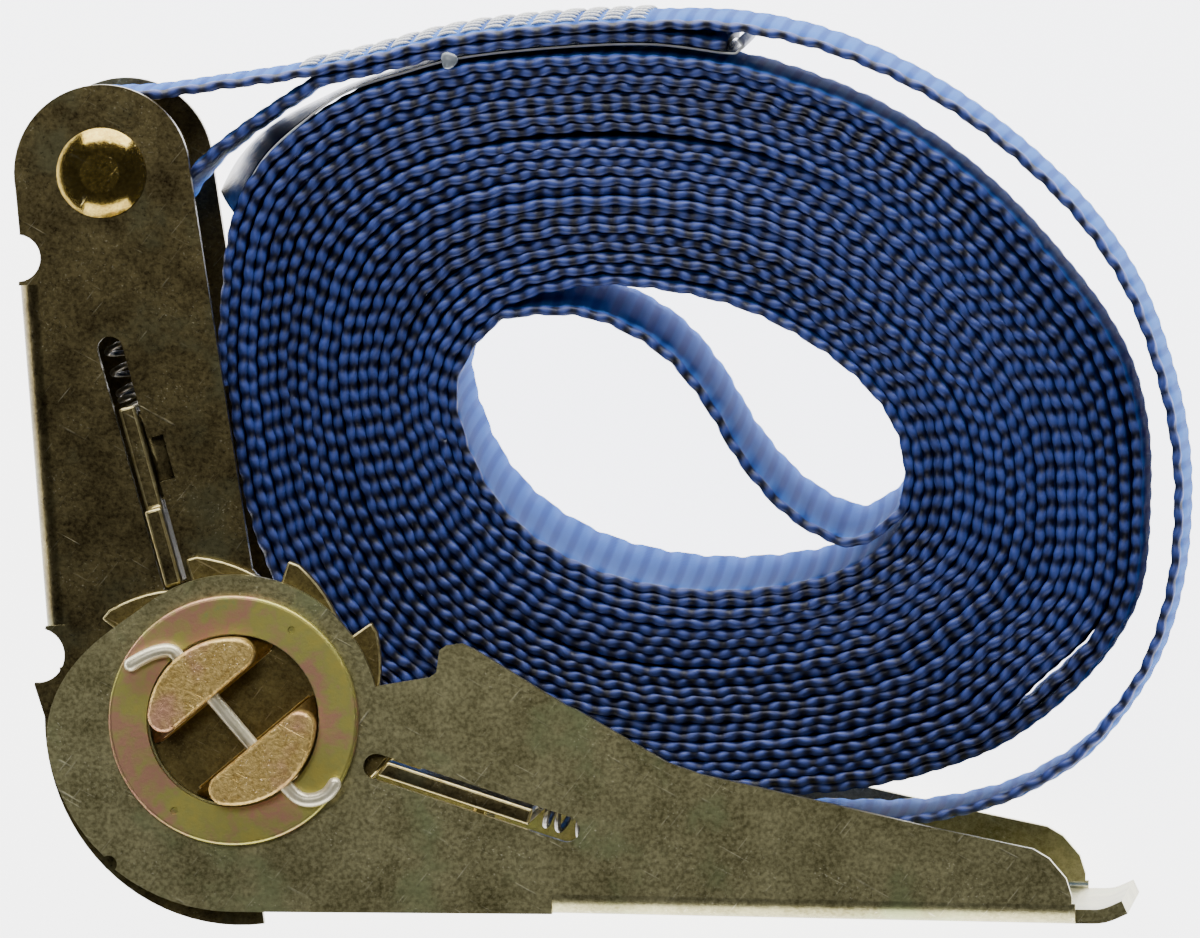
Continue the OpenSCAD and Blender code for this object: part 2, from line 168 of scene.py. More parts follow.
class Graph:
    """The node tree of one material."""

    def __init__(self, name: str) -> None:
        """Starts an empty material with that name."""
        self.material = bpy.data.materials.new(name)
        self.material.use_nodes = True
        self.tree = self.material.node_tree
        self.tree.nodes.clear()

    def node(
        self,
        kind: str,
        settings: dict | None = None,
        inputs: dict | None = None,
        output: int | str = 0,
    ) -> Wire:
        """Adds a node.

        Args:
            kind: The node's type.
            settings: Its own settings, set first. "stops" are a ramp's places and colours.
            inputs: Values or wires for its sockets, by name or number.
            output: The output that is wanted.

        Returns:
            A wire from that output.
        """
        made = self.tree.nodes.new(kind)
        for name, value in (settings or {}).items():
            if name == "stops":
                self._set_stops(made.color_ramp, value)
            else:
                setattr(made, name, value)
        for key, value in (inputs or {}).items():
            if isinstance(value, Wire):
                self.tree.links.new(value.socket, made.inputs[key])
            else:
                made.inputs[key].default_value = value
        return Wire(self, made.outputs[output] if made.outputs else None)

    @staticmethod
    def _set_stops(ramp: bpy.types.ColorRamp, stops: Sequence[tuple[float, Colour]]) -> None:
        """Gives a ramp these places and colours."""
        while len(ramp.elements) < len(stops):
            ramp.elements.new(1)
        for element, (place, colour) in zip(ramp.elements, stops):
            element.position = place
            element.color = colour

    def place(self, scale: Sequence[float] = (1, 1, 1), turn: Sequence[float] = (0, 0, 0)) -> Wire:
        """The point on the surface in millimetres, scaled and turned about the origin."""
        point = self.node("ShaderNodeTexCoord", output="Object")
        turned = self.node("ShaderNodeMapping", inputs={0: point, "Rotation": turn})
        stretched = tuple(s / MM for s in scale)
        return self.node("ShaderNodeMapping", inputs={0: turned, "Scale": stretched})

    def noise(self, place: Wire, spacing: float, detail: float = 2, rough: float = 0.5) -> Wire:
        """Cloudy noise from 0 to 1, with lumps about that many millimetres apart."""
        inputs = {"Vector": place, "Scale": 1 / spacing, "Detail": detail, "Roughness": rough}
        return self.node("ShaderNodeTexNoise", inputs=inputs)

    def mix(self, share: Wire | float, first: Wire | Colour, second: Wire | Colour) -> Wire:
        """Mixes two colours by a share of the second."""
        sockets = {0: share, 6: first, 7: second}
        return self.node("ShaderNodeMix", {"data_type": "RGBA"}, sockets, output=2)

    def bump(self, height: Wire, depth: float) -> Wire:
        """A normal bent by a height from 0 to 1 that is that many millimetres deep."""
        return self.node("ShaderNodeBump", inputs={"Height": height, "Distance": depth * MM})

    def finish(self, sockets: dict[str, Wire | float | Colour]) -> bpy.types.Material:
        """Ends the graph in one Principled shader with these sockets set."""
        shader = self.node("ShaderNodeBsdfPrincipled", inputs=sockets)
        self.node("ShaderNodeOutputMaterial", inputs={"Surface": shader})
        return self.material


# ---- Finishes ----


@dataclass(frozen=True)
class Metal:
    """Plated or bare steel, mottled, grained and scratched.

    Args:
        name: The material's name.
        dark: Colour of the darker patches.
        light: Colour of the lighter patches.
        speck: Colour of specks and scratches.
        rough: Lowest and highest roughness.
        metallic: How metallic it is.
        mottle: Size of the patches, in mm.
        contrast: How sharply the patches part, from 0 to just under 1.
        specks: How strongly the specks show.
        scratches: How strongly the scratches show.
        grain: Depth of the grain, in mm.
        scuff: Colour of rubbed patches, or None.
    """

    name: str
    dark: Colour
    light: Colour
    speck: Colour
    rough: tuple[float, float] = (0.3, 0.5)
    metallic: float = 0.9
    mottle: float = 4
    contrast: float = 0.5
    specks: float = 0.5
    scratches: float = 0.5
    grain: float = 0.02
    scuff: Colour | None = None

    def material(self) -> bpy.types.Material:
        """Builds the node graph: cloudy patches, grain and rubbed spots, with specks and scratches on top."""
        graph = Graph(self.name)
        place = graph.place()
        patches = graph.noise(place, self.mottle, 6, 0.65).step(self.contrast / 2, 1 - self.contrast / 2)
        grain = graph.noise(place, 0.45, 3, 0.7)
        dots = graph.noise(place, 0.26, 2).step(0.62, 0.78) * graph.noise(place, 4.5, 3).step(0.42, 0.64)
        lines = self._lines(graph, (0.11, 3.4, 1), 0.5).largest(self._lines(graph, (0.17, 4.1, 1), -0.9))
        colour = graph.mix(patches * 0.6 + grain.step(0.3, 0.7) * 0.4, self.dark, self.light)
        if self.scuff is not None:
            rubbed = graph.noise(place, 11, 4, 0.6).step(0.52, 0.68) * (0.5 + grain * 0.5)
            colour = graph.mix(rubbed, colour, self.scuff)
        colour = graph.mix((dots * self.specks).largest(lines * self.scratches), colour, self.speck)
        low, high = self.rough
        roughness = low + (high - low) * grain
        sockets = {"Base Color": colour, "Roughness": roughness, "Metallic": self.metallic}
        if self.grain:
            sockets["Normal"] = graph.bump(grain * 0.6 + lines * 0.4 + dots * 0.3, self.grain)
        return graph.finish(sockets)

    def _lines(self, graph: Graph, scale: Sequence[float], turn: float) -> Wire:
        """Fine scratches that run one way."""
        broken = graph.noise(graph.place(), 2.2, 2).step(0.45, 0.65)
        return graph.noise(graph.place(scale, (0, 0, turn)), 1, 2, 0.4).step(0.64, 0.78) * broken


@dataclass(frozen=True)
class Iridescent:
    """Yellow zinc whose thin film shows patches of pink and green.

    Args:
        name: The material's name.
        colours: The colours that the film passes through.
    """

    name: str
    colours: tuple[Colour, ...]

    def material(self) -> bpy.types.Material:
        """Builds the node graph. The film's colours follow a slow noise from 0.25 to 0.75."""
        graph = Graph(self.name)
        place = graph.place()
        film = graph.noise(place, 7, 3, 0.5) * 0.75 + graph.noise(place, 1.1, 2) * 0.25
        count = len(self.colours)
        stops = [(0.25 + 0.5 * i / (count - 1), colour) for i, colour in enumerate(self.colours)]
        colour = graph.node("ShaderNodeValToRGB", {"stops": stops}, {0: film})
        grain = graph.noise(place, 0.3, 3, 0.7)
        return graph.finish({
            "Base Color": colour,
            "Roughness": 0.3 + grain * 0.25,
            "Metallic": 0.9,
            "Normal": graph.bump(grain, 0.012),
        })


@dataclass(frozen=True)
class Polyester:
    """Woven polyester webbing. Its pattern follows the strap by the attribute that Webbing writes.

    Args:
        name: The material's name.
        valley_painted_shade: Colour between the ribs and edge loops, a painted shade.
        crest_painted_highlight: Colour on top of the ribs and edge loops, a painted highlight.
        gloss: Its specular level.
        rough: Its lowest roughness.
    """

    name: str
    valley_painted_shade: Colour
    crest_painted_highlight: Colour
    gloss: float
    rough: float

    def material(self) -> bpy.types.Material:
        """Builds the node graph. Ribs cross the strap, and fine yarns run along them and round its edge. Rib
        and loop crests get a painted highlight, the valleys a painted shade.
        """
        graph = Graph(self.name)
        weave = graph.node("ShaderNodeAttribute", {"attribute_name": "weave"}, output="Vector")
        along, across, tone = weave.parts()
        rib = ((along * (math.tau / RIB)).cosine() * 0.5 + 0.5).step(0, 0.7)
        loop = (along * (math.tau / LOOP)).cosine() * 0.5 + 0.5
        selvedge = across.size().step(11.6, 12.3)
        yarn = ((across * 9 + along * 1.2).cosine() * (1 - selvedge)
                + (along * 3 + across * 14).cosine() * selvedge) * 0.5 + 0.5
        fuzz = graph.noise(graph.place(), 0.16, 3, 0.7)
        # Painted highlight on the crests of the ribs and edge loops; the valleys between them get painted
        # shade.
        crest_painted_highlight = rib * (1 - selvedge) + loop * selvedge
        share = crest_painted_highlight * 0.6 + yarn * 0.15 + fuzz * 0.2 + tone * 0.25 - 0.15
        return graph.finish({
            "Base Color": graph.mix(share.step(0, 1), self.valley_painted_shade, self.crest_painted_highlight),
            "Roughness": self.rough + fuzz * 0.2,
            "Specular IOR Level": self.gloss,
            "Normal": graph.bump(yarn * 0.5 + fuzz * 0.5, 0.06),
        })


@dataclass(frozen=True)
class Film:
    """Thin, smooth sheet or moulded plastic.

    Args:
        name: The material's name.
        colour: Its colour.
        shade: A second colour in slow patches.
        rough: Its roughness.
        see_through: Share of light that passes through.
        crinkle: Depth of its slow waves, in mm.
        gloss: Its specular level.
    """

    name: str
    colour: Colour
    shade: Colour
    rough: float
    see_through: float = 0
    crinkle: float = 0.05
    gloss: float = 0.5

    def material(self) -> bpy.types.Material:
        """Builds the node graph. Slow waves carry both the shade and the crinkle."""
        graph = Graph(self.name)
        place = graph.place()
        waves = graph.noise(place, 3, 3, 0.6)
        return graph.finish({
            "Base Color": graph.mix(waves.step(0.35, 0.65), self.colour, self.shade),
            "Roughness": self.rough + graph.noise(place, 0.6, 2) * 0.12,
            "Transmission Weight": self.see_through,
            "Specular IOR Level": self.gloss,
            "Normal": graph.bump(waves, self.crinkle),
        })


@dataclass(frozen=True)
class Thread:
    """Twisted sewing thread.

    Args:
        name: The material's name.
        colour: Its colour.
        shade: Darker colour between the plies, a painted shade.
    """

    name: str
    colour: Colour
    shade: Colour

    def material(self) -> bpy.types.Material:
        """Builds the node graph. The twist is a fine slanted wave, whose darker stripes are a painted shade
        between the plies.
        """
        graph = Graph(self.name)
        x, y, z = graph.place().parts()
        twist = ((x + y) * 16 + z * 24).cosine() * 0.5 + 0.5
        fuzz = graph.noise(graph.place(), 0.12, 2)
        return graph.finish({
            "Base Color": graph.mix(twist * 0.5 + fuzz * 0.3, self.colour, self.shade),
            "Roughness": 0.65 + fuzz * 0.2,
            "Sheen Weight": 0.3,
            "Normal": graph.bump(twist * 0.7 + fuzz * 0.3, 0.04),
        })


@dataclass(frozen=True)
class LightTable:
    """A white floor that is lit from inside, so that it stays white round the part.

    Args:
        name: The material's name.
        colour: Its colour.
        glow: Strength of its own light.
    """

    name: str
    colour: Colour
    glow: float

    def material(self) -> bpy.types.Material:
        """Builds the node graph. Nothing in it varies."""
        return Graph(self.name).finish({
            "Base Color": self.colour,
            "Roughness": 0.7,
            "Emission Color": self.colour,
            "Emission Strength": self.glow,
        })


class Finish(Enum):
    """Every finish on the tie down and in its studio."""

    PLATE = Metal(
        "zinc_plate_aged", tint("352B18"), tint("83774F"), tint("CFC8A8"), (0.2, 0.42), metallic=0.95,
        mottle=4.5, contrast=0.5, specks=0.55, scratches=0.4, grain=0.02, scuff=tint("6E6C4E"),
    )
    HANDLE = Metal(
        "zinc_handle_aged", tint("6E6840"), tint("CFC896"), tint("F0EBCB"), (0.24, 0.46), metallic=0.95,
        mottle=6, contrast=0.4, specks=0.6, scratches=0.5, grain=0.025, scuff=tint("A5AE7C"),
    )
    # Lighter colour of the broken edges: partly edge wear, partly a painted highlight along the edges.
    PLATE_EDGE_WEAR_AND_HIGHLIGHT = Metal(
        "zinc_plate_edge_wear_and_highlight", tint("B09A5C"), tint("E8DCA4"), tint("FFF6D0"), (0.22, 0.4),
        mottle=2, specks=0.4, scratches=0.3, grain=0.01,
    )
    BRIGHT = Metal(
        "zinc_bright", tint("7E652A"), tint("C8AE5C"), tint("F5EBC4"), (0.08, 0.22), metallic=1.0,
        mottle=2.2, contrast=0.45, specks=0.5, scratches=0.4, grain=0.015,
    )
    SPINDLE = Metal(
        "spindle_steel", tint("A8853C"), tint("FBDB8E"), tint("FFF0E0"), (0.34, 0.6),
        mottle=0.7, contrast=0.4, specks=0.9, scratches=0, grain=0.2, scuff=tint("E0A490"),
    )
    WHEEL = Metal(
        "wheel_steel", tint("4A3D20"), tint("8A7C4A"), tint("CDBB8C"), (0.3, 0.55),
        mottle=2.4, contrast=0.5, specks=0.6, scratches=0.5, grain=0.03,
    )
    RING = Iridescent(
        "ring_zinc", tuple(map(tint, ("93A052", "CDBF62", "BDB868", "CF9A80", "BDB56A", "86AE80")))
    )
    WIRE = Metal(
        "cotter_wire", tint("D8CFA6"), tint("FFF6DC"), tint("FFFFFF"), (0.3, 0.4), metallic=0.5,
        mottle=3, contrast=0.1, specks=0, scratches=0, grain=0,
    )
    SPRING = Metal(
        "spring_steel", tint("5F5C57"), tint("A9A59C"), tint("E0DDD5"), (0.22, 0.4),
        mottle=1.2, specks=0.2, scratches=0.2, grain=0.008,
    )
    # One webbing in two copies: the edges painted darker as painted shade, the faces lighter as painted
    # light.
    WEBBING_SHADED_EDGE = Polyester("webbing_edge_painted_shade", tint("07081C"), tint("4157AA"), 0.5, 0.34)
    WEBBING_LIT_FACE = Polyester("webbing_face_painted_light", tint("2A4C92"), tint("3C6CB6"), 0.04, 0.6)
    THREAD = Thread("sewing_thread", tint("F4F3EE"), tint("B9B9B4"))
    LABEL = Film("label_film", tint("070B22"), tint("101A44"), 0.16, gloss=0.22)
    LABEL_BACK = Film("label_back", tint("F2F1EC"), tint("D8D6CF"), 0.4)
    TACK = Film("tack_plastic", tint("8E979F"), tint("B9C1C8"), 0.15, see_through=0.5, crinkle=0.02)
    FLOOR = LightTable("floor_white", tint("F6F6F7"), 5)

    @cache
    def material(self) -> bpy.types.Material:
        """The finish's material, built once."""
        return self.value.material()


# ---- Curves and surfaces ----


def polar(radius: float | np.ndarray, degrees: float | np.ndarray) -> np.ndarray:
    """Points at that distance and direction from the origin, in the XY plane."""
    angle = np.radians(degrees)
    return np.stack([radius * np.cos(angle), radius * np.sin(angle)], -1)


def curve_through(points: Sequence, per_span: int = 6, closed: bool = False) -> np.ndarray:
    """Catmull-Rom curve: between b and c, with a before and d after, it is half of
    2b + (c - a)t + (2a - 5b + 4c - d)t^2 + (3b - a - 3c + d)t^3.

    Args:
        points: The points that it passes through.
        per_span: Samples from each point to the next.
        closed: Whether it comes back to its start.

    Returns:
        The samples in order.
    """
    p = np.asarray(points, float)
    if closed:
        a, b, c, d = np.roll(p, 1, 0), p, np.roll(p, -1, 0), np.roll(p, -2, 0)
    else:
        q = np.vstack([p[:1], p, p[-1:]])
        a, b, c, d = q[:-3], q[1:-2], q[2:-1], q[3:]
    t = np.linspace(0, 1, per_span, endpoint=False)[None, :, None]
    a, b, c, d = (x[:, None, :] for x in (a, b, c, d))
    spans = (2 * b + (c - a) * t + (2 * a - 5 * b + 4 * c - d) * t**2 + (3 * b - a - 3 * c + d) * t**3) / 2
    line = spans.reshape(-1, p.shape[1])
    return line if closed else np.vstack([line, p[-1:]])


def bridge(points: Sequence, per_span: int) -> np.ndarray:
    """A curve from the second point to the last but one, led by the outer two."""
    return curve_through(points, per_span)[per_span:-per_span]


def run_of(line: np.ndarray) -> np.ndarray:
    """The distance along a line at each of its points."""
    return np.concatenate([[0], np.cumsum(np.linalg.norm(np.diff(line, axis=0), axis=1))])


def left_of(line: np.ndarray) -> np.ndarray:
    """Unit vectors to the left of a flat line: its direction turned by a quarter."""
    along = np.gradient(line, axis=0)
    along /= np.linalg.norm(along, axis=1, keepdims=True)
    return np.stack([-along[:, 1], along[:, 0]], 1)


def smooth_step(x: np.ndarray, low: float, high: float) -> np.ndarray:
    """3t^2 - 2t^3, with t the share of the way from low to high."""
    t = np.clip((x - low) / (high - low), 0, 1)
    return t * t * (3 - 2 * t)


def add_mesh(
    name: str,
    points: np.ndarray,
    faces: Sequence[Sequence[int]],
    finishes: Sequence[Finish],
    slots: np.ndarray | None = None,
    weave: np.ndarray | None = None,
) -> bpy.types.Object:
    """Makes an object from points in millimetres, with its faces turned outwards.

    The volume is the sum over faces of a . (b x c) / 6 on their fans; if it is negative, all faces turn over.

    Args:
        name: The piece's name.
        points: An array of points, n by 3.
        faces: Lists of point numbers.
        finishes: The finishes of the material slots.
        slots: The slot of each face, or None for the first.
        weave: A vector for each point that the webbing's finish reads.

    Returns:
        The object, at the origin.
    """
    corners = np.array([(f[0], f[i], f[i + 1]) for f in faces for i in range(1, len(f) - 1)])
    a, b, c = (points[corners[:, i]] for i in range(3))
    if float((a * np.cross(b, c)).sum()) < 0:
        faces = [f[::-1] for f in faces]
    mesh = bpy.data.meshes.new(name)
    mesh.from_pydata((points * MM).tolist(), [], faces)
    for finish in finishes:
        mesh.materials.append(finish.material())
    mesh.polygons.foreach_set("use_smooth", np.ones(len(faces), bool))
    if slots is not None:
        mesh.polygons.foreach_set("material_index", slots.astype(np.int32))
    if weave is not None:
        held = mesh.attributes.new("weave", "FLOAT_VECTOR", "POINT")
        held.data.foreach_set("vector", weave.astype(np.float32).ravel())
    made = bpy.data.objects.new(name, mesh)
    bpy.context.scene.collection.objects.link(made)
    LOG.info("%s: %d faces", name, len(faces))
    return made


def tube_faces(stations: int, sides: int) -> list[list[int]]:
    """Faces of a tube whose points are numbered station by station, with both ends closed."""
    i = np.arange(stations - 1)[:, None] * sides
    k = np.arange(sides)[None, :]
    n = (k + 1) % sides
    walls = np.stack([i + k, i + n, i + sides + n, i + sides + k], -1).reshape(-1, 4).tolist()
    last = (stations - 1) * sides
    return [*walls, list(range(sides))[::-1], list(range(last, last + sides))]


def tube_points(
    line: np.ndarray, radius: np.ndarray | float, sides: int, across: Sequence[float]
) -> np.ndarray:
    """Rings round a line: centre + r (cos a * side + sin a * up), with side = direction x across.

    Args:
        line: Points along the middle, n by 3.
        radius: One radius, or one for each point.
        sides: Points in each ring.
        across: A direction that the line never takes.

    Returns:
        The points, ring by ring.
    """
    along = np.gradient(line, axis=0)
    side = np.cross(along, np.asarray(across, float))
    side /= np.linalg.norm(side, axis=1, keepdims=True)
    up = np.cross(side, along)
    up /= np.linalg.norm(up, axis=1, keepdims=True)
    angle = np.arange(sides) * math.tau / sides
    r = np.broadcast_to(np.asarray(radius, float), len(line))[:, None, None]
    ring = np.cos(angle)[None, :, None] * side[:, None] + np.sin(angle)[None, :, None] * up[:, None]
    return (line[:, None] + r * ring).reshape(-1, 3)


def rounded_radius(run: np.ndarray, radius: float) -> np.ndarray:
    """Radius of a tube with half-round ends: sqrt(r^2 - (r - d)^2) where the end is d < r away."""
    away = np.minimum(run, run[-1] - run)
    inside = np.clip(away, 0.03 * radius, radius)
    return np.sqrt(radius**2 - (radius - inside) ** 2)


def dress(node: str, finish: Finish) -> None:
    """Gives a CAD node a finish through its material slots."""
    held = frame["nodes"][node]
    if not held.data.materials:
        held.data.materials.append(finish.material())
    for slot in held.material_slots:
        slot.material = finish.material()


def box_of(node: str) -> tuple[np.ndarray, np.ndarray]:
    """The lowest and highest corner of a CAD node, in millimetres."""
    low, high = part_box(node)
    return np.array(low) / MM, np.array(high) / MM


def body_of(node: str) -> str:
    """The body that a CAD node rides on."""
    bodies = frame["record"]["behaviour"]["bodies"]
    return next(body for body, nodes in bodies.items() if node in nodes)


# ---- Webbing ----


def lean(points: np.ndarray) -> np.ndarray:
    """Leans the soft parts as they lie on a table: y moves by k (16 - z), so the lower edge is further up.

    The lean k is 0.1 round the coil's hole, falls to 0.03 in the outer layers and to nothing at their right
    side, and is nothing at the sleeve.
    """
    x, y, z = points.T
    away = np.hypot(x - AXLE[0], y - AXLE[1])
    ring = np.hypot((x - COIL_CENTRE[0]) / 23.5, (y - COIL_CENTRE[1]) / 15)
    outer = 0.03 * smooth_step(x, 85, 55)
    k = (outer + (0.1 - outer) * smooth_step(ring, 1.7, 1)) * smooth_step(away, 9, 45)
    return np.column_stack([x, y + k * (16 - z), z])


@dataclass(frozen=True)
class Webbing:
    """A woven strap on edge: its width lies along Z, and its thickness lies across its line.

    Args:
        width: Width of the strap.
        thickness: Thickness over the ribs.
        rib_height: How far a rib stands up.
        loop_height: How far a loop stands out at the edge.
        loop_sway: How far a loop leans to either side.
        bow: How far the strap's middle bows out from the coil.
        margin: Room kept at each edge for the loops.
        hem: Depth of the rounding of its edges.
        edge_points: Points round each edge.
    """

    width: float = 25.0
    thickness: float = 0.98
    rib_height: float = 0.055
    loop_height: float = 0.22
    loop_sway: float = 0.23
    bow: float = 0.5
    margin: float = 0.2
    hem: float = 0.42
    edge_points: int = 5

    def crown(self, z: np.ndarray | float) -> np.ndarray | float:
        """How far the strap bows out at a level: b (1 - (2z / width)^2)."""
        return self.bow * (1 - (2 * z / self.width) ** 2)

    def profile(self) -> tuple[np.ndarray, np.ndarray, np.ndarray]:
        """The strap's section: half-round edges joined by flat faces.

        Returns:
            For each point of the ring its place across the thickness, its place along the width, and how
            much it belongs to an edge, signed by side.
        """
        half = self.width / 2 - self.margin
        edge = polar(1.0, np.linspace(-90, 90, self.edge_points))
        inner = np.array([half / 2, 0, -half / 2])
        a = np.concatenate([edge[:, 1], [1, 1, 1], edge[::-1, 1], [-1, -1, -1]]) * self.thickness / 2
        rounding = half - self.hem + self.hem * edge[:, 0]
        z = np.concatenate([rounding, inner, -rounding, -inner])
        rim, flat = 0.25 + 0.75 * edge[:, 0], np.zeros(3)
        return a, z, np.concatenate([rim, flat, -rim, flat])

    def piece(self, name: str, line: "Line", start: float, end: float, step: float) -> bpy.types.Object:
        """Builds the strap between two distances along its line.

        With s the distance, ribs scale the thickness t by 1 + (2h / t) cos(2 pi s / rib), the weft's loops
        push the edge out by h ((1 + cos(2 pi s / loop)) / 2)^0.7 and sway it by k sin(pi s / loop), the
        middle bows out by its crown, and the whole width shifts by a slow ripple.

        Args:
            name: The piece's name.
            line: The strap's middle line.
            start: Distance along the line where the piece starts.
            end: Distance where it ends.
            step: Distance between rings.

        Returns:
            The piece.
        """
        run = np.linspace(start, end, round((end - start) / step) + 1)
        centre, left = line.at(run)
        a, z, at_edge = self.profile()
        s = run[:, None]
        turn = math.tau * s / LOOP
        ripple = 0.13 * np.sin(s / 37) + 0.09 * np.sin(s / 11.3 + 1.7)
        bulge = self.loop_height * (0.5 + 0.5 * np.cos(turn)) ** 0.7
        outwards = centre - COIL_CENTRE
        outwards /= np.linalg.norm(outwards, axis=1, keepdims=True)
        across = a * (1 + 2 * self.rib_height / self.thickness * np.cos(math.tau * s / RIB))
        across = across + np.tanh(4 * (outwards * left).sum(1))[:, None] * self.crown(z)
        across = across + self.loop_sway * at_edge * np.sin(turn / 2)
        level = z + at_edge * bulge + ripple
        flat = centre[:, None] + across[:, :, None] * left[:, None]
        points = lean(np.concatenate([flat, level[:, :, None]], 2).reshape(-1, 3))
        tone = 0.5 + 0.3 * np.sin(s / 33) + 0.2 * np.sin(s / 7.7 + 1)
        weave = np.stack(np.broadcast_arrays(s, z, tone), -1).reshape(-1, 3)
        # Faces take the lighter copy of the webbing, painted light; edges take the darker copy, painted
        # shade.
        on_face = (np.abs(at_edge) < 0.6) & (np.abs(np.roll(at_edge, -1)) < 0.6)
        slots = np.concatenate([np.tile(on_face, len(run) - 1), [0, 0]])
        finishes = [Finish.WEBBING_SHADED_EDGE, Finish.WEBBING_LIT_FACE]
        made = add_mesh(name, points, tube_faces(len(run), len(a)), finishes, slots, weave)
        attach(made, "frame")
        return made


class Line:
    """A flat line that can be asked for its place and its left side at any distance."""

    def __init__(self, points: np.ndarray, step: float = 0.2) -> None:
        """Samples the points evenly, and smooths the corners between samples."""
        run = run_of(points)
        self.run = np.linspace(0, run[-1], int(run[-1] / step) + 1)
        self.points = np.stack([np.interp(self.run, run, points[:, i]) for i in (0, 1)], 1)
        kernel = np.hanning(9)[1:-1]
        kernel /= kernel.sum()
        padded = np.pad(left_of(self.points), ((3, 3), (0, 0)), "edge")
        self.left = np.stack([np.convolve(padded[:, i], kernel, "valid") for i in (0, 1)], 1)

    @property
    def length(self) -> float:
        """The whole length."""
        return float(self.run[-1])

    def at(self, run: np.ndarray) -> tuple[np.ndarray, np.ndarray]:
        """Places and left sides at these distances."""
        place = np.stack([np.interp(run, self.run, self.points[:, i]) for i in (0, 1)], 1)
        left = np.stack([np.interp(run, self.run, self.left[:, i]) for i in (0, 1)], 1)
        return place, left / np.linalg.norm(left, axis=1, keepdims=True)


@dataclass(frozen=True)
class Slack:
    """A loose spot in the coil, where two layers stand apart.

    Args:
        layer: Number of layers inside it.
        angle: Direction of its middle from the coil's centre, in degrees.
        reach: How far it reaches to each side, in degrees.
        amount: Its width, in layers.
    """

    layer: float
    angle: float
    reach: float
    amount: float

    def window(self, angle: np.ndarray) -> np.ndarray:
        """Its width in layers at each direction: its amount times cos^2 of the way out, up to its reach."""
        away = np.abs((angle - self.angle + 180) % 360 - 180) / self.reach
        return self.amount * np.cos(np.clip(away, 0, 1) * math.pi / 2) ** 2


